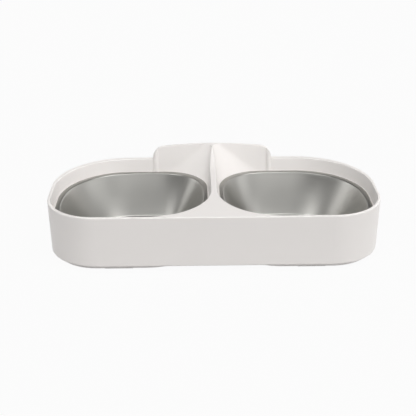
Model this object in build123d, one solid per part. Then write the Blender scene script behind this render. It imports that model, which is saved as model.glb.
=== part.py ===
from build123d import *
import os

os.makedirs("parts", exist_ok=True)

# Tray, driving sizes in millimetres. X runs along the tray, the front faces -Y, Z is up from the table.
tray_width = 340.0
tray_depth = 160.0
rim_height = 59.5
skirt_clearance = 5.0
skirt_draft = 1.2
wall = 2.6
front_corner_radius = 52.0
rear_corner_radius = 78.0
rim_round = 1.2
skirt_foot_round = 1.4

# Pockets that the bowls hang in
rim_width = 3.0
pocket_depth = 14.0
pocket_draft = 1.5
rear_lean = 6.5
neck_half_width = 3.6
neck_draft = 1.2
pocket_inner_front_radius = 65.0
pocket_inner_rear_radius = 47.0
pocket_edge_round = 0.8
pocket_bands = 5

# Splash-back with the splitter ridge
hood_half_width = 66.5
hood_height = 17.1
hood_crown = 4.2
hood_corner_radius = 14.0
hood_thickness = 2.6
hood_edge_round = 1.1
hood_brow_round = 0.7
brow_share = 0.6
jamb_radius = 3.2
jamb_stand = 1.8
ridge_half_width = 0.4
ridge_corner_radius = 5.0
ridge_top_length = 14.5
ridge_foot_from_rear = 45.0

# Bowls
bowl_gap = 1.8
flange_width = 4.2
flange_thickness = 1.0
steel = 0.9
bowl_depth = 42.0
bowl_wall_lean = 24.0
bowl_foot_radius = 5.0
lip_round = 1.2
under_round = 0.8
flange_edge_round = 0.4
hole_clearance = 1.2

# Wells under the bowls and the pads they stand on
well_wall = 2.2
foot_flange_width = 6.0
foot_flange_thickness = 3.0
pad_length = 30.0
pad_width = 4.0
pad_thickness = 2.0
pad_stand = 1.0
pad_play = 0.3
pad_round = 0.4
front_pad_x = 97.0
rear_pad_x = 75.0
rib_thickness = 2.0
rib_height = 22.0
side_rib_x = 30.0

# Worked out from the sizes above
half_width = tray_width / 2
half_depth = tray_depth / 2
ledge_z = rim_height - pocket_depth
hood_top = rim_height + hood_height
loft_top = hood_top + wall
loft_rise = loft_top - ledge_z
rim_share = pocket_depth / loft_rise
lobe_rear = half_depth - hood_thickness
ledge_edge = rim_width + pocket_draft
ledge_rear = half_depth - rim_width - rear_lean
mouth_inset = bowl_gap + flange_width
lean_share = bowl_wall_lean / bowl_depth
skin_inset = mouth_inset + lean_share * flange_thickness - steel * (1 + lean_share ** 2) ** 0.5
hole_inset = skin_inset - hole_clearance
well_inset = hole_inset - well_wall
foot_flange_inset = well_inset + foot_flange_width
overlap = 2.0
tolerance = 0.01


def rounded_outline(x_out, x_in, y_front, y_rear, radii, z):
    """Face at height z with four straight sides and its own radius at each corner."""
    r_out_front, r_in_front, r_in_rear, r_out_rear = radii
    half_chord = 0.5 ** 0.5
    centres = [
        (x_in - r_in_front, y_front + r_in_front),
        (x_in - r_in_rear, y_rear - r_in_rear),
        (x_out + r_out_rear, y_rear - r_out_rear),
        (x_out + r_out_front, y_front + r_out_front),
    ]
    mid = [
        (centres[0][0] + r_in_front * half_chord, centres[0][1] - r_in_front * half_chord),
        (centres[1][0] + r_in_rear * half_chord, centres[1][1] + r_in_rear * half_chord),
        (centres[2][0] - r_out_rear * half_chord, centres[2][1] + r_out_rear * half_chord),
        (centres[3][0] - r_out_front * half_chord, centres[3][1] - r_out_front * half_chord),
    ]
    front_a = (centres[3][0], y_front)
    front_b = (centres[0][0], y_front)
    inner_a = (x_in, centres[0][1])
    inner_b = (x_in, centres[1][1])
    rear_a = (centres[1][0], y_rear)
    rear_b = (centres[2][0], y_rear)
    outer_a = (x_out, centres[2][1])
    outer_b = (x_out, centres[3][1])
    edges = [
        Line(front_a, front_b),
        ThreePointArc(front_b, mid[0], inner_a),
        Line(inner_a, inner_b),
        ThreePointArc(inner_b, mid[1], rear_a),
        Line(rear_a, rear_b),
        ThreePointArc(rear_b, mid[2], outer_a),
        Line(outer_a, outer_b),
        ThreePointArc(outer_b, mid[3], front_a),
    ]
    return Pos(0, 0, z) * Face(Wire(edges))


def tray_outline(inset, z):
    """Plan of the whole tray, drawn in by an inset."""
    radii = (
        front_corner_radius - inset,
        front_corner_radius - inset,
        rear_corner_radius - inset,
        rear_corner_radius - inset,
    )
    return rounded_outline(
        -half_width + inset, half_width - inset, -half_depth + inset, half_depth - inset, radii, z
    )


def ledge_outline(inset, z):
    """Plan of the left pocket where its wall meets the ledge, drawn in by an inset."""
    radii = (
        front_corner_radius - ledge_edge - inset,
        pocket_inner_front_radius - neck_draft - inset,
        pocket_inner_rear_radius - inset,
        rear_corner_radius - ledge_edge - inset,
    )
    return rounded_outline(
        -half_width + ledge_edge + inset,
        -neck_half_width - neck_draft - inset,
        -half_depth + ledge_edge + inset,
        ledge_rear - inset,
        radii,
        z,
    )


def scoop_outline(grow, z):
    """Plan of the left pocket carried up to the height of the hood, where it opens into the scoop."""
    edge = ledge_edge - pocket_draft / rim_share
    radii = (
        front_corner_radius - edge + grow,
        pocket_inner_front_radius + grow,
        ridge_corner_radius + grow,
        rear_corner_radius - edge + grow,
    )
    return rounded_outline(
        -half_width + edge - grow,
        -ridge_half_width + grow,
        -half_depth + edge - grow,
        lobe_rear + grow,
        radii,
        z,
    )


def pocket_outline(share):
    """Plan of the left pocket at a share of the way from the ledge up to the height of the scoop."""
    edge = ledge_edge - share * pocket_draft / rim_share
    neck = neck_draft * (1 - share)
    inner = neck_half_width + (ridge_half_width - neck_half_width) * share
    radii = (
        front_corner_radius - edge,
        pocket_inner_front_radius - neck,
        pocket_inner_rear_radius + (ridge_corner_radius - pocket_inner_rear_radius) * share,
        rear_corner_radius - edge,
    )
    return rounded_outline(
        -half_width + edge,
        -inner - neck,
        -half_depth + edge,
        ledge_rear + (lobe_rear - ledge_rear) * share,
        radii,
        ledge_z + loft_rise * share,
    )


def hood_face(z_low):
    """Front view of the splash-back from z_low up, with an arched top and rounded shoulders."""
    shoulder_z = hood_top - hood_crown
    edges = [
        Line((-hood_half_width, z_low), (hood_half_width, z_low)),
        Line((hood_half_width, z_low), (hood_half_width, shoulder_z)),
        ThreePointArc((hood_half_width, shoulder_z), (0, hood_top), (-hood_half_width, shoulder_z)),
        Line((-hood_half_width, shoulder_z), (-hood_half_width, z_low)),
    ]
    face = Face(Wire(edges))
    return fillet(face.vertices().group_by(Axis.Y)[-1], hood_corner_radius)


def both_sides(left):
    """A left-hand solid and its mirror image."""
    return [left, mirror(left, about=Plane.YZ)]


# Left pocket as a cutter, and the same grown by one wall for the tub round it
left_pocket = loft([pocket_outline(band / pocket_bands) for band in range(pocket_bands + 1)], ruled=True)
left_tub = loft([ledge_outline(-wall, ledge_z - wall), scoop_outline(wall, loft_top)], ruled=True)
pockets = both_sides(left_pocket)
tubs = both_sides(left_tub)

# Well under each ledge, with a foot flange turned in at the bottom
left_hole = extrude(ledge_outline(hole_inset, pad_stand + foot_flange_thickness), rim_height)
left_well = extrude(ledge_outline(well_inset, pad_stand), ledge_z - wall / 2 - pad_stand)
left_well = left_well - left_hole - extrude(ledge_outline(foot_flange_inset, 0), ledge_z)
wells = both_sides(left_well)
holes = both_sides(left_hole)

# Skirt and land as one drafted block with rounded edges, hollowed from below
block = loft([tray_outline(skirt_draft, skirt_clearance), tray_outline(0, rim_height)], ruled=True)
block = fillet(block.edges().group_by(Axis.Z)[-1], rim_round)
block = fillet(block.edges().group_by(Axis.Z)[0], skirt_foot_round)
hollow_low = tray_outline(wall + skirt_draft, skirt_clearance - overlap)
hollow_high = tray_outline(wall, rim_height - wall)
hollow = loft([hollow_low, hollow_high], ruled=True)
for tub in tubs:
    hollow = hollow - tub
base = block - hollow
for pocket in pockets:
    base = base - pocket
land = base.faces().sort_by(Axis.Z)[-1]
pocket_edges = [edge for loop in land.inner_wires() for edge in loop.edges()]
base = fillet(pocket_edges, pocket_edge_round)

# Splash-back: an arched plate whose front is cut by the ridge line and by both scoops
hood_low = rim_height - overlap
rear_plane = Plane.XZ.offset(-half_depth)
ridge_foot_y = half_depth - ridge_foot_from_rear
ridge_head_y = half_depth - ridge_top_length
plate = extrude(rear_plane * hood_face(hood_low), ridge_foot_from_rear)
crest = plate.edges().filter_by_position(Axis.Y, half_depth - tolerance, half_depth + tolerance)
crest = crest.filter_by(lambda edge: edge.center().Z > rim_height)
plate = fillet(crest, hood_edge_round)
ridge_line = [
    Line((ridge_foot_y, hood_low), (half_depth, hood_low)),
    Line((half_depth, hood_low), (half_depth, loft_top)),
    Line((half_depth, loft_top), (ridge_head_y, loft_top)),
    Line((ridge_head_y, loft_top), (ridge_head_y, hood_top)),
    TangentArc((ridge_foot_y, rim_height), (ridge_head_y, hood_top), tangent=(1, 0)),
    Line((ridge_foot_y, rim_height), (ridge_foot_y, hood_low)),
]
ridge_face = Plane.YZ * Face(Wire(ridge_line))
hood = plate & extrude(ridge_face, hood_half_width + overlap, both=True)
for pocket in pockets:
    hood = hood - pocket
brow_low_z = rim_height + hood_height * brow_share
brow_low_y = half_depth - ridge_top_length / 2
brow = hood.edges().filter_by(GeomType.BSPLINE)
brow = brow.filter_by(lambda edge: edge.center().Z > brow_low_z and edge.center().Y > brow_low_y)
hood = fillet(brow, hood_brow_round)

# Rounded jambs at both ends of the splash-back, standing on the ledge and trimmed to its outline
jamb_low = ledge_z - overlap
jamb_x = jamb_radius - hood_half_width
jamb_lean = (lobe_rear - ledge_rear) / loft_rise
jamb_ends = []
for z in (jamb_low, loft_top):
    jamb_y = ledge_rear + jamb_lean * (z - ledge_z) - jamb_stand + jamb_radius
    jamb_ends.append((Pos(jamb_x, jamb_y, z) * Circle(jamb_radius)).face())
jamb_rod = loft(jamb_ends)
jamb_plane = Plane.XZ.offset(hood_thickness / 2 - half_depth)
left_jamb = jamb_rod & extrude(jamb_plane * hood_face(jamb_low), ridge_foot_from_rear)
jambs = both_sides(left_jamb)

# One moulding: base, splash-back, jambs and wells, opened for the bowls and cored under the ridge
tray = base + hood
for piece in jambs + wells:
    tray = tray + piece
for hole in holes:
    tray = tray - hole
core_line = [
    (half_depth - wall, rim_height - 2 * wall),
    (half_depth - wall, hood_top - 2 * wall),
    (ridge_head_y + wall, hood_top - 2 * wall),
    (ridge_foot_y + wall, rim_height - 2 * wall),
]
core = extrude(Plane.YZ * Face(Wire.make_polygon(core_line)), hood_half_width, both=True)
for tub in tubs:
    core = core - tub
tray = tray - core

# Stiffening ribs between the wells and behind the front of the skirt
rib_top = rim_height - wall / 2
rib_size = rib_height + wall / 2
under = (Align.CENTER, Align.CENTER, Align.MAX)
middle_rib = Pos(0, 0, rib_top) * Box(rib_thickness, tray_depth - 2 * wall, rib_size, align=under)
side_rib_length = half_depth - ridge_foot_from_rear
side_rib_y = side_rib_length / 2 - half_depth + wall
left_rib = Pos(-side_rib_x, side_rib_y, rib_top) * Box(rib_thickness, side_rib_length, rib_size, align=under)
for rib in [middle_rib] + both_sides(left_rib):
    for cutter in tubs + holes:
        rib = rib - cutter
    tray = tray + rib

# Rubber pads in seats under the foot flanges
pad_inset = well_inset + foot_flange_width / 2
front_pad_y = -half_depth + ledge_edge + pad_inset
rear_pad_y = ledge_rear - pad_inset
pad_places = {
    "front_left_foot": (-front_pad_x, front_pad_y),
    "front_right_foot": (front_pad_x, front_pad_y),
    "rear_left_foot": (-rear_pad_x, rear_pad_y),
    "rear_right_foot": (rear_pad_x, rear_pad_y),
}
seat = extrude(SlotOverall(pad_length + 2 * pad_play, pad_width + 2 * pad_play), pad_thickness)
pad = extrude(SlotOverall(pad_length, pad_width), pad_thickness)
pad = fillet(pad.edges().group_by(Axis.Z)[0], pad_round)
for name, (pad_x, pad_y) in pad_places.items():
    tray = tray - Pos(pad_x, pad_y, 0) * seat
    export_step(Pos(pad_x, pad_y, 0) * pad, "parts/" + name + ".step")
export_step(tray, "parts/tray_shell.step")

# Bowl: flat flange, leaning wall and rounded foot, drawn from one sheet
flange_top = ledge_z + flange_thickness
floor_z = flange_top - bowl_depth
skin_low_inset = skin_inset + lean_share * (ledge_z - floor_z + steel)
skin_high = ledge_outline(skin_inset, ledge_z)
skin_low = ledge_outline(skin_low_inset, floor_z - steel)
skin = loft([skin_low, skin_high], ruled=True)
skin = fillet(skin.edges().group_by(Axis.Z)[0], bowl_foot_radius + steel)
room_high = ledge_outline(mouth_inset, flange_top)
room_low = ledge_outline(mouth_inset + bowl_wall_lean, floor_z)
room = loft([room_low, room_high], ruled=True)
room = fillet(room.edges().group_by(Axis.Z)[0], bowl_foot_radius)
bowl = extrude(ledge_outline(bowl_gap, ledge_z), flange_thickness) + skin
under_face = bowl.faces().filter_by_position(Axis.Z, ledge_z - tolerance, ledge_z + tolerance)[0]
bowl = fillet(under_face.inner_wires()[0].edges(), under_round)
bowl = bowl - room
top_face = bowl.faces().sort_by(Axis.Z)[-1]
bowl = fillet(top_face.inner_wires()[0].edges(), lip_round)
top_face = bowl.faces().sort_by(Axis.Z)[-1]
bowl = fillet(top_face.outer_wire().edges(), flange_edge_round)
left_bowl, right_bowl = both_sides(bowl)
export_step(left_bowl, "parts/left_bowl.step")
export_step(right_bowl, "parts/right_bowl.step")

print("tray", round(tray.volume), "mm3,", len(tray.solids()), "solid")
print("bowl", round(bowl.volume), "mm3,", len(bowl.solids()), "solid")
print("ridge core", round(core.volume), "mm3")
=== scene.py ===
# %% [markdown]
# # A double pet bowl
# The real object is one white moulding with two pressed steel bowls that lift out of it. The packed
# CAD model is the fixed frame: it says where every piece is, what it measures and how it moves.
# This lesson loads that frame, rebuilds the bowls as fine smooth surfaces with numpy, and gives
# every piece the finish that its real material and process would leave.

import bpy
import numpy as np
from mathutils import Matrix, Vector


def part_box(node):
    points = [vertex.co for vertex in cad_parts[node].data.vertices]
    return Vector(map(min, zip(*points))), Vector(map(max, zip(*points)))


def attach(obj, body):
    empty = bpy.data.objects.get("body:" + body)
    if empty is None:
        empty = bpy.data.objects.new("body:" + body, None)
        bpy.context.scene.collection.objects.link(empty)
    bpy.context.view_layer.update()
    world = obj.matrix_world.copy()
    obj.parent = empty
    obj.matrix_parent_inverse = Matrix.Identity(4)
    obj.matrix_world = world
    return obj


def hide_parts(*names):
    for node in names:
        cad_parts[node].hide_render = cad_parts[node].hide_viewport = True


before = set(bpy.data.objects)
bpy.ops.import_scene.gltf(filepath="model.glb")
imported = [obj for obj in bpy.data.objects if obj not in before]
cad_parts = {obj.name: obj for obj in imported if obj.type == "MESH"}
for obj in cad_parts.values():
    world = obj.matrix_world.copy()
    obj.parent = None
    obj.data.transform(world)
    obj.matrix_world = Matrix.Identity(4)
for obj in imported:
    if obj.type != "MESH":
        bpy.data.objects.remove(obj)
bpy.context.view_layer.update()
print("CAD nodes:", ", ".join(sorted(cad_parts)))

# %% [markdown]
# ## Helpers
# Sizes are in millimetres, because that is how a tray and a bowl would be drawn, and MM turns them
# to metres. Colours are sRGB hex values, as a paint chart gives them, and one function makes them
# linear for the shader. One more function adds a shader node with its settings and links, so that
# a material reads as a list of nodes.

# %% Helpers for colours and shader nodes
MM = 0.001


def linear(hex_colour):
    """sRGB hex to linear RGBA: c / 12.92 up to the knee at 0.04045, and (c + 0.055) / 1.055 to the
    power 2.4 above it."""
    srgb = np.array([int(hex_colour[i:i + 2], 16) for i in (1, 3, 5)]) / 255
    rgb = np.where(srgb <= 0.04045, srgb / 12.92, ((srgb + 0.055) / 1.055) ** 2.4)
    return (*rgb.tolist(), 1.0)


def add_node(tree, kind, settings=None, links=None):
    """Adds one node, sets its sockets and properties by name, and links its inputs to pairs of a
    node and the name of its output."""
    node = tree.nodes.new(kind)
    for name, value in (settings or {}).items():
        if isinstance(name, int) or name in node.inputs:
            node.inputs[name].default_value = value
        else:
            setattr(node, name, value)
    for name, (source, output) in (links or {}).items():
        tree.links.new(source.outputs[output], node.inputs[name])
    return node


def new_material(name):
    """An empty node material and its tree, ready for its own nodes."""
    material = bpy.data.materials.new(name)
    material.use_nodes = True
    material.node_tree.nodes.clear()
    return material, material.node_tree


print("red of #808080 in linear light:", round(linear("#808080")[0], 3))

# %% [markdown]
# ## Plan of a bowl
# Each bowl follows the pocket that it hangs in: four straight sides and four corners with their own
# radii. The outline could be drawn again for every height. Here the offset is a formula instead,
# because each corner keeps its centre while its radius shrinks, so one function gives the plan at
# any distance from the pocket wall.

# %% The pocket's plan, measured from the frame
bowl_low, bowl_high = (np.array(corner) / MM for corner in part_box("left_bowl"))
bowl_gap = 1.8
ledge_x = bowl_low[0] - bowl_gap, bowl_high[0] + bowl_gap
ledge_y = bowl_low[1] - bowl_gap, bowl_high[1] + bowl_gap
corner_radius = {"in_front": 63.8, "in_rear": 47.0, "out_rear": 73.5, "out_front": 47.5}
corner_steps = 24


def plan_loop(inset):
    """Left bowl's plan drawn in by each inset: an arc about each fixed corner centre, counter-
    clockwise from the front, and a straight side to the next arc. Returns an array of insets by
    points by x and y."""
    reach = np.array(list(corner_radius.values()))
    centre_x = np.array([ledge_x[1], ledge_x[1], ledge_x[0], ledge_x[0]]) + reach * [-1, -1, 1, 1]
    centre_y = np.array([ledge_y[0], ledge_y[1], ledge_y[1], ledge_y[0]]) + reach * [1, -1, -1, 1]
    centre = np.stack([centre_x, centre_y], -1)[None, :, None]
    radius = (reach - np.reshape(inset, (-1, 1)))[:, :, None, None]
    share = np.linspace(0, 1, corner_steps)
    turn = (np.arange(4)[:, None] - 1 + share) * np.pi / 2
    arcs = centre + radius * np.stack([np.cos(turn), np.sin(turn)], -1)
    ends, starts = arcs[:, :, -1:], np.roll(arcs[:, :, :1], -1, axis=1)
    sides = ends + (starts - ends) * share[1:-1, None]
    return np.concatenate([arcs, sides], axis=2).reshape(len(radius), -1, 2)


print("plan points:", plan_loop([0]).shape[1])

# %% [markdown]
# ## Section of a bowl
# The bowl is one steel sheet, drawn in a die: a flat flange that lies on the ledge, a rounded lip,
# a leaning wall, a rounded foot and a flat floor. The wall bows out a little and is steeper at the
# lip than at the foot, which softens what it mirrors. A Solidify modifier could give the sheet its
# thickness, but the flange is a little thicker than the wall, so both faces are written as one line
# of distance from the pocket and height.

# %% Sizes of the section
flange_top = bowl_high[2]
flange_thickness = 1.0
flange_width = 4.2
sheet = 0.9
bowl_depth = 42.0
wall_lean = 24.0
foot_radius = 3.0
lip_radius = 1.8
under_radius = 0.8
edge_radius = 0.4
wall_bow = np.radians(5.0)
mouth = np.array([bowl_gap + flange_width, flange_top])
floor_z = flange_top - bowl_depth
lean_angle = np.arctan2(wall_lean, bowl_depth)
lip_lean, foot_lean = lean_angle - wall_bow, lean_angle + wall_bow
print("floor height:", round(floor_z, 2), "mm")

# %% Arcs and walls of the section
foot_steps, wall_steps, lip_steps, edge_steps, under_steps = 20, 14, 10, 6, 8


def arc_points(centre, radius, start, end, steps):
    """Points on a circle in the section, from one angle to another, in radians from the inward
    direction: the centre plus the radius times the angle's cosine and sine."""
    angle = np.linspace(start, end, steps)[:, None]
    return np.array(centre) + radius * np.hstack([np.cos(angle), np.sin(angle)])


def beside_wall(distance, height):
    """Point at a height, that far inside the inner face of a straight wall at the mean lean: the
    wall's own position at that height plus the distance over the cosine of the lean."""
    on_wall = mouth[0] + (mouth[1] - height) * np.tan(lean_angle)
    return np.array([on_wall + distance / np.cos(lean_angle), height])


def bowed_wall(low, high):
    """Points from the foot to the lip on a parabola that leaves each end along its own lean: low,
    the place where the two end tangents cross and high, weighted by (1 - t) squared, 2 t (1 - t)
    and t squared."""
    up_low, up_high = ([-np.sin(lean), np.cos(lean)] for lean in (foot_lean, lip_lean))
    reach = np.linalg.solve(np.transpose([up_low, up_high]), high - low)[0]
    crossing = low + reach * np.array(up_low)
    t = np.linspace(0, 1, wall_steps)[1:-1, None]
    return (1 - t) ** 2 * low + 2 * t * (1 - t) * crossing + t ** 2 * high


print("steps on the wall:", wall_steps)

# %% The section, from the floor inside over the flange to the face below
foot_centre = beside_wall(foot_radius, floor_z + foot_radius)
lip_centre = beside_wall(-lip_radius, flange_top - lip_radius)
under_centre = beside_wall(-sheet - under_radius, flange_top - flange_thickness - under_radius)
edge_centre = bowl_gap + edge_radius, flange_top - edge_radius
foot_start, foot_end = -np.pi / 2, -np.pi + foot_lean
foot_inside = arc_points(foot_centre, foot_radius, foot_start, foot_end, foot_steps)
lip = arc_points(lip_centre, lip_radius, lip_lean, np.pi / 2, lip_steps)
wall_inside = bowed_wall(foot_inside[-1], lip[0])
flange_edge = arc_points(edge_centre, edge_radius, np.pi / 2, np.pi, edge_steps)
flange_corner = [bowl_gap, flange_top - flange_thickness]
under = arc_points(under_centre, under_radius, np.pi / 2, lip_lean, under_steps)
foot_outside = arc_points(foot_centre, foot_radius + sheet, foot_end, foot_start, foot_steps)
wall_outside = bowed_wall(foot_outside[0], under[-1])[::-1]
inner_face = [foot_inside, wall_inside, lip, flange_edge]
outer_face = [flange_corner, under, wall_outside, foot_outside]
section = np.vstack(inner_face + outer_face)
print("section points:", len(section))

# %% [markdown]
# ## Bowls
# The section is carried round the plan: every row of the grid is the plan at that row's distance
# and height. A drawn sheet doesn't turn from straight to round at one point, as the pocket's plan
# does, and such a jump would show in what the steel mirrors. The plan could be drawn with easing
# curves. Here it is blurred along its length, because one formula then serves every corner: the
# flange's edge keeps the pocket's plan, and the mouth and all inside it take the eased one.
# The floor inside and the face underneath are rings that shrink to one point, so the shell is
# closed. The right bowl is the left one mirrored, and its faces are listed the other way round so
# that they still point outwards. Each point also keeps a place along the polishing lines, which run
# round the bowl.

# %% Ease of the mouth
ease_reach = 13.0
even_steps = 1024


def eased_plan(loop, reach):
    """How far each point of a closed loop moves when the loop is blurred along its own length by a
    bell curve of that reach: every wave of the outline is scaled by e to the power of minus half
    the square of its wave number times the reach."""
    closed = np.vstack([loop, loop[:1]])
    length = np.concatenate([[0], np.linalg.norm(np.diff(closed, axis=0), axis=1).cumsum()])
    even = np.linspace(0, length[-1], even_steps + 1)
    walk = np.interp(even, length, closed[:, 0]) + 1j * np.interp(even, length, closed[:, 1])
    wave = np.fft.fftfreq(even_steps, length[-1] / even_steps) * 2 * np.pi
    blurred = np.fft.ifft(np.fft.fft(walk[:-1]) * np.exp(-(wave * reach) ** 2 / 2))
    shift = np.append(blurred, blurred[:1]) - walk
    return np.stack([np.interp(length[:-1], even, part) for part in (shift.real, shift.imag)], -1)


ease = eased_plan(plan_loop(mouth[:1])[0], ease_reach)
print("the mouth moves by up to", round(np.linalg.norm(ease, axis=1).max(), 2), "mm")

# %% Bowl surface
floor_rings = 8


def bowl_grid(middle):
    """Left bowl as rows by columns of x, y, z: rings that grow from the middle of the floor, the
    section carried round the plan, and rings that shrink to the middle of the underside."""
    eased_share = np.clip((section[:, 0] - bowl_gap) / flange_width, 0, 1)
    plan = plan_loop(section[:, 0]) + ease * eased_share[:, None, None]
    rings = np.concatenate([plan, np.repeat(section[:, None, 1:], plan.shape[1], 1)], -1)
    share = np.linspace(0, 1, floor_rings + 1)[1:-1, None, None]
    inside = np.repeat(rings[:1], floor_rings - 1, 0)
    inside[:, :, :2] = middle + (inside[:, :, :2] - middle) * share
    below = np.repeat(rings[-1:], floor_rings - 1, 0)
    below[:, :, :2] = middle + (below[:, :, :2] - middle) * share[::-1]
    return np.concatenate([inside, rings, below])


def ring_quads(rows, columns):
    """Quads between neighbouring rows of a grid whose columns close into a ring: row times columns
    plus column numbers a point, and the last column is followed by the first."""
    row, column = np.meshgrid(np.arange(rows - 1), np.arange(columns), indexing="ij")
    here, ahead = row * columns + column, row * columns + (column + 1) % columns
    return np.stack([here, ahead, ahead + columns, here + columns], -1).reshape(-1, 4)


middle = np.array([np.mean(ledge_x), np.mean(ledge_y)])
grid = bowl_grid(middle)
rows, columns = grid.shape[:2]
poles = np.array([[*middle, floor_z], [*middle, floor_z - sheet]])
points = np.concatenate([grid.reshape(-1, 3), poles]) * MM
first = np.arange(columns)
ahead = (first + 1) % columns
last_row = (rows - 1) * columns
top_fan = np.stack([ahead, first, np.full(columns, rows * columns)], -1)
low_fan = np.stack([first + last_row, ahead + last_row, np.full(columns, rows * columns + 1)], -1)
faces = [*ring_quads(rows, columns).tolist(), *top_fan.tolist(), *low_fan.tolist()]
print("bowl points:", len(points), "faces:", len(faces))

# %% Polishing lines
polish_radius = 70.0


def polish_paths(grid):
    """Place along the polishing lines: the column as an angle on a circle of fixed radius, and the
    length of the section up to the row as height, so that the pattern closes on itself round the
    bowl."""
    rows, columns = grid.shape[:2]
    turn = np.arange(columns) * 2 * np.pi / columns
    along = np.concatenate([[0], np.linalg.norm(np.diff(grid, axis=0), axis=2).mean(1).cumsum()])
    circle = np.tile(polish_radius * np.stack([np.cos(turn), np.sin(turn)], -1), (rows, 1, 1))
    height = np.repeat(along[:, None, None], columns, 1)
    return np.concatenate([circle, height], -1).reshape(-1, 3)


paths = np.concatenate([polish_paths(grid), np.zeros(poles.shape)]) * MM
print("length of the section:", round(paths[:, 2].max() / MM), "mm")

# %% Left and right bowl
def pressed_bowl(name, side):
    """Mesh object from the bowl's points, mirrored where side is -1, with its polishing lines as an
    attribute. Each face is listed backwards where side is 1, so that both bowls point outwards."""
    mesh = bpy.data.meshes.new(name)
    mesh.from_pydata(points * [side, 1, 1], [], [face[::-side] for face in faces])
    lines = mesh.attributes.new("polish_path", "FLOAT_VECTOR", "POINT")
    lines.data.foreach_set("vector", paths.ravel())
    mesh.shade_smooth()
    mesh.validate()
    piece = bpy.data.objects.new(name, mesh)
    bpy.context.scene.collection.objects.link(piece)
    return piece


def signed_volume(mesh):
    """Volume in cubic millimetres, positive when the faces point outwards: a sixth of the sum, over
    the triangles, of each one's first corner dotted with the cross product of the other two."""
    mesh.calc_loop_triangles()
    corners = np.empty(len(mesh.loop_triangles) * 3, int)
    mesh.loop_triangles.foreach_get("vertices", corners)
    places = np.empty(len(mesh.vertices) * 3)
    mesh.vertices.foreach_get("co", places)
    a, b, c = (places.reshape(-1, 3)[corners.reshape(-1, 3)[:, i]] for i in range(3))
    return (a * np.cross(b, c)).sum() / 6 / MM ** 3


bowls = []
for body, side in (("left_bowl", 1), ("right_bowl", -1)):
    piece = pressed_bowl(body + "_pressing", side)
    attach(piece, body)
    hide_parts(body)
    bowls.append(piece)
    print(piece.name, "volume", round(signed_volume(piece.data)), "mm3")

# %% [markdown]
# ## Moulded ABS
# The tray is injection-moulded ABS in a warm white. The mould is spark-eroded to a fine satin
# grain, which spreads the highlights, and the resin's colour drifts a very little over the length
# of the flow. An image could carry the grain. Noise on Object coordinates is used, because it has
# no seams on any face.

# %% ABS
plastic, tree = new_material("satin_moulded_abs")
abs_ior = 1.53
abs_tints = "#F3EFEC", "#F6F2EF"
abs_roughness = {"To Min": 0.36, "To Max": 0.46}
flow_length = 70 * MM
flow_noise = {"Scale": 1 / flow_length, "Detail": 2.0}
# Real mould grain is about 0.1 mm, and is drawn coarser so that it shows
grain_size = 0.5 * MM
grain_noise = {"Scale": 1 / grain_size, "Detail": 3.0}
grain_depth = 0.02 * MM
grain_relief = {"Strength": 0.3, "Distance": grain_depth}
place = add_node(tree, "ShaderNodeTexCoord")
flow = add_node(tree, "ShaderNodeTexNoise", flow_noise, {"Vector": (place, "Object")})
tint = add_node(tree, "ShaderNodeValToRGB", {}, {"Fac": (flow, "Fac")})
for stop, colour in zip(tint.color_ramp.elements, abs_tints):
    stop.color = linear(colour)
grain = add_node(tree, "ShaderNodeTexNoise", grain_noise, {"Vector": (place, "Object")})
rough = add_node(tree, "ShaderNodeMapRange", abs_roughness, {"Value": (grain, "Fac")})
bump = add_node(tree, "ShaderNodeBump", grain_relief, {"Height": (grain, "Fac")})
surface = add_node(
    tree, "ShaderNodeBsdfPrincipled", {"IOR": abs_ior},
    {"Base Color": (tint, "Color"), "Roughness": (rough, "Result"), "Normal": (bump, "Normal")},
)
add_node(tree, "ShaderNodeOutputMaterial", {}, {"Surface": (surface, "BSDF")})
print("material:", plastic.name)

# %% [markdown]
# ## Stainless steel
# The bowls are drawn from stainless sheet and polished to a satin while they turn, so very fine
# lines run round them, and what they mirror is soft. The lines could be an anisotropic shader. Here
# they vary the roughness and the bump a little, on the bowl's own polishing coordinate, which keeps
# them running round the corners.

# %% Steel
steel, tree = new_material("satin_drawn_stainless")
steel_tints = "#ADACA8", "#B3B2AE"
steel_roughness = {"To Min": 0.32, "To Max": 0.40}
stain_size = 55 * MM
stain_noise = {"Scale": 1 / stain_size, "Detail": 2.0}
line_length = 45 * MM
# Real polishing lines are about 0.05 mm apart, and are drawn coarser so that they show
line_spacing = 1.1 * MM
line_scale = {"Scale": (1 / line_length, 1 / line_length, 1 / line_spacing)}
line_noise = {"Scale": 1.0, "Detail": 2.0}
line_depth = 0.004 * MM
line_relief = {"Strength": 0.4, "Distance": line_depth}
path = add_node(tree, "ShaderNodeAttribute", {"attribute_name": "polish_path"})
stretch = add_node(tree, "ShaderNodeMapping", line_scale, {"Vector": (path, "Vector")})
lines = add_node(tree, "ShaderNodeTexNoise", line_noise, {"Vector": (stretch, "Vector")})
place = add_node(tree, "ShaderNodeTexCoord")
stain = add_node(tree, "ShaderNodeTexNoise", stain_noise, {"Vector": (place, "Object")})
tint = add_node(tree, "ShaderNodeValToRGB", {}, {"Fac": (stain, "Fac")})
for stop, colour in zip(tint.color_ramp.elements, steel_tints):
    stop.color = linear(colour)
rough = add_node(tree, "ShaderNodeMapRange", steel_roughness, {"Value": (lines, "Fac")})
bump = add_node(tree, "ShaderNodeBump", line_relief, {"Height": (lines, "Fac")})
surface = add_node(
    tree, "ShaderNodeBsdfPrincipled", {"Metallic": 1.0},
    {"Base Color": (tint, "Color"), "Roughness": (rough, "Result"), "Normal": (bump, "Normal")},
)
add_node(tree, "ShaderNodeOutputMaterial", {}, {"Surface": (surface, "BSDF")})
for piece in bowls:
    piece.data.materials.append(steel)
print("material:", steel.name, "on", len(bowls), "bowls")

# %% [markdown]
# ## Rubber
# The four pads are moulded rubber. They stay matt and grey, with the coarse grain of a cheap mould.
# An image could carry that grain too. A plain rough surface with a bump from the same noise is
# enough, because the pads show only as a thin line under the tray.

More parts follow.
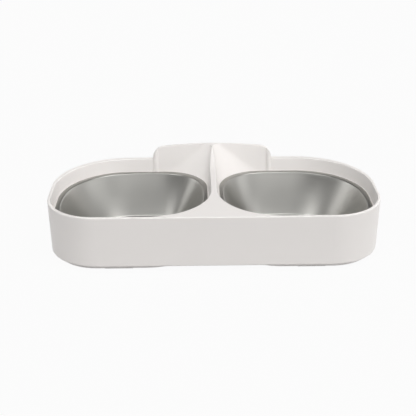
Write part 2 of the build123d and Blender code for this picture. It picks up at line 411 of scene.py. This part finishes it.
# %% Rubber
rubber, tree = new_material("moulded_rubber")
rubber_tints = "#8C8986", "#989592"
rubber_roughness = {"To Min": 0.7, "To Max": 0.85}
rubber_grain = 0.6 * MM
rubber_noise = {"Scale": 1 / rubber_grain, "Detail": 3.0}
rubber_depth = 0.1 * MM
rubber_relief = {"Strength": 0.2, "Distance": rubber_depth}
place = add_node(tree, "ShaderNodeTexCoord")
grain = add_node(tree, "ShaderNodeTexNoise", rubber_noise, {"Vector": (place, "Object")})
tint = add_node(tree, "ShaderNodeValToRGB", {}, {"Fac": (grain, "Fac")})
for stop, colour in zip(tint.color_ramp.elements, rubber_tints):
    stop.color = linear(colour)
rough = add_node(tree, "ShaderNodeMapRange", rubber_roughness, {"Value": (grain, "Fac")})
bump = add_node(tree, "ShaderNodeBump", rubber_relief, {"Height": (grain, "Fac")})
surface = add_node(
    tree, "ShaderNodeBsdfPrincipled", {},
    {"Base Color": (tint, "Color"), "Roughness": (rough, "Result"), "Normal": (bump, "Normal")},
)
add_node(tree, "ShaderNodeOutputMaterial", {}, {"Surface": (surface, "BSDF")})
print("material:", rubber.name)

# %% [markdown]
# ## Tray and pads
# The tray and its pads already have their right shape in the CAD model, with the rounded edges that
# the mould gives, so they stay as they are and only take their finish.

# %% Finishes on the CAD nodes
for name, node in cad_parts.items():
    node.data.materials.clear()
    node.data.materials.append(plastic if name == "tray_shell" else rubber)
    print(name, "has", node.data.materials[0].name)

# %% [markdown]
# ## Floor
# The object stands on a wide sheet of white paper. The paper could be lit until it is white, but
# then the tray would be too bright. Instead it glows white to the camera and in the steel's
# reflections, as a sheet with its own light does, and a small share of plain diffuse paper keeps
# the shadow.

# %% Floor
floor_reach = 30.0
paper_glow = 0.95
paper_grey = "#AAAAAA"
white_strength = 1.0
floor_mesh = bpy.data.meshes.new("floor")
corner_signs = np.array([[-1, -1, 0], [1, -1, 0], [1, 1, 0], [-1, 1, 0]])
floor_mesh.from_pydata(corner_signs * floor_reach, [], [(0, 1, 2, 3)])
floor = bpy.data.objects.new("floor", floor_mesh)
bpy.context.scene.collection.objects.link(floor)
paper, tree = new_material("white_paper")
ray = add_node(tree, "ShaderNodeLightPath")
bounce = add_node(tree, "ShaderNodeBsdfDiffuse", {"Color": linear(paper_grey)})
glow = add_node(tree, "ShaderNodeEmission", {"Strength": white_strength})
seen = add_node(
    tree, "ShaderNodeMath", {"operation": "MAXIMUM"},
    {0: (ray, "Is Camera Ray"), 1: (ray, "Is Glossy Ray")},
)
seen = add_node(
    tree, "ShaderNodeMath", {"operation": "MAXIMUM"},
    {0: (seen, "Value"), 1: (ray, "Is Transmission Ray")},
)
share = add_node(
    tree, "ShaderNodeMath", {"operation": "MULTIPLY", 1: paper_glow}, {0: (seen, "Value")}
)
mix = add_node(
    tree, "ShaderNodeMixShader", {},
    {"Fac": (share, "Value"), 1: (bounce, "BSDF"), 2: (glow, "Emission")},
)
add_node(tree, "ShaderNodeOutputMaterial", {}, {"Surface": (mix, "Shader")})
floor_mesh.materials.append(paper)
print("floor:", 2 * floor_reach, "m wide")

# %% [markdown]
# ## Studio light
# The light is a dim room with large soft panels in it. Lamps could stand for the panels. Here each
# panel is a soft patch of the world, brightest in one direction and gone at an angle from it,
# because the satin steel mirrors the whole room and a patch has no hard edge to show in it.

# %% World
room_level = 0.02
# Degrees from the front to the right, degrees up, degrees to where it is gone, brightness
soft_panels = {
    "key": (46, 63, 25, 4.9),
    "front_left_high": (-42, 56, 22, 3.6),
    "front_low": (8, 8, 36, 1.6),
    "front_right_low": (60, 8, 36, 1.45),
    "right_low": (95, 8, 36, 0.55),
    "back_right_low": (135, 8, 36, 1.9),
    "back_low": (180, 0, 30, 0.8),
    "back_left_low": (-140, 4, 40, 0.9),
    "left": (-102, 22, 20, 2.2),
    "front_left": (-65, 35, 26, 0.4),
    "right": (110, 35, 30, 0.3),
}
world = bpy.data.worlds.new("studio")
bpy.context.scene.world = world
world.use_nodes = True
tree = world.node_tree
tree.nodes.clear()
view = add_node(tree, "ShaderNodeTexCoord")
level = add_node(tree, "ShaderNodeMath", {"operation": "ADD", 0: room_level, 1: 0.0})
for panel_turn, panel_lift, panel_reach, brightness in soft_panels.values():
    turn, lift, reach = np.radians([panel_turn, panel_lift, panel_reach])
    axis = np.sin(turn) * np.cos(lift), -np.cos(turn) * np.cos(lift), np.sin(lift)
    facing = add_node(
        tree, "ShaderNodeVectorMath", {"operation": "DOT_PRODUCT", 1: axis},
        {0: (view, "Generated")},
    )
    patch = add_node(
        tree, "ShaderNodeMapRange",
        {"interpolation_type": "SMOOTHSTEP", "From Min": np.cos(reach), "To Max": brightness},
        {"Value": (facing, "Value")},
    )
    level = add_node(
        tree, "ShaderNodeMath", {"operation": "ADD"}, {0: (level, "Value"), 1: (patch, "Result")}
    )
white = linear("#FFFFFF")
sky = add_node(tree, "ShaderNodeBackground", {"Color": white}, {"Strength": (level, "Value")})
add_node(tree, "ShaderNodeOutputWorld", {}, {"Surface": (sky, "Background")})
print("light patches:", ", ".join(soft_panels))

# %% [markdown]
# ## Camera
# The photograph looks down on the tray at about 25 degrees, from a little left of its middle,
# through a long lens. The camera turns about a point in the tray, and a small lens shift puts the
# tray where it is in the frame.

# %% Camera
frame_pixels = 416
pixels_across, pixels_up = -6.2, 3.5
target = Vector((0, -19.8, 37.5)) * MM
elevation = np.radians(25.0)
azimuth = np.radians(-1.4)
distance = 937.7 * MM
lens_length = 77.9
sensor_width = 36.0
camera_data = bpy.data.cameras.new("camera")
camera_data.lens = lens_length
camera_data.sensor_width = sensor_width
camera_data.shift_x = pixels_across / frame_pixels
camera_data.shift_y = pixels_up / frame_pixels
camera = bpy.data.objects.new("camera", camera_data)
bpy.context.scene.collection.objects.link(camera)
level_part = np.cos(elevation)
away = Vector((np.sin(azimuth) * level_part, -np.cos(azimuth) * level_part, np.sin(elevation)))
camera.location = target + away * distance
camera.rotation_euler = (-away).to_track_quat("-Z", "Y").to_euler()
bpy.context.scene.camera = camera
bpy.context.scene.view_settings.view_transform = "Standard"
print("camera at", [round(c / MM) for c in camera.location], "mm")
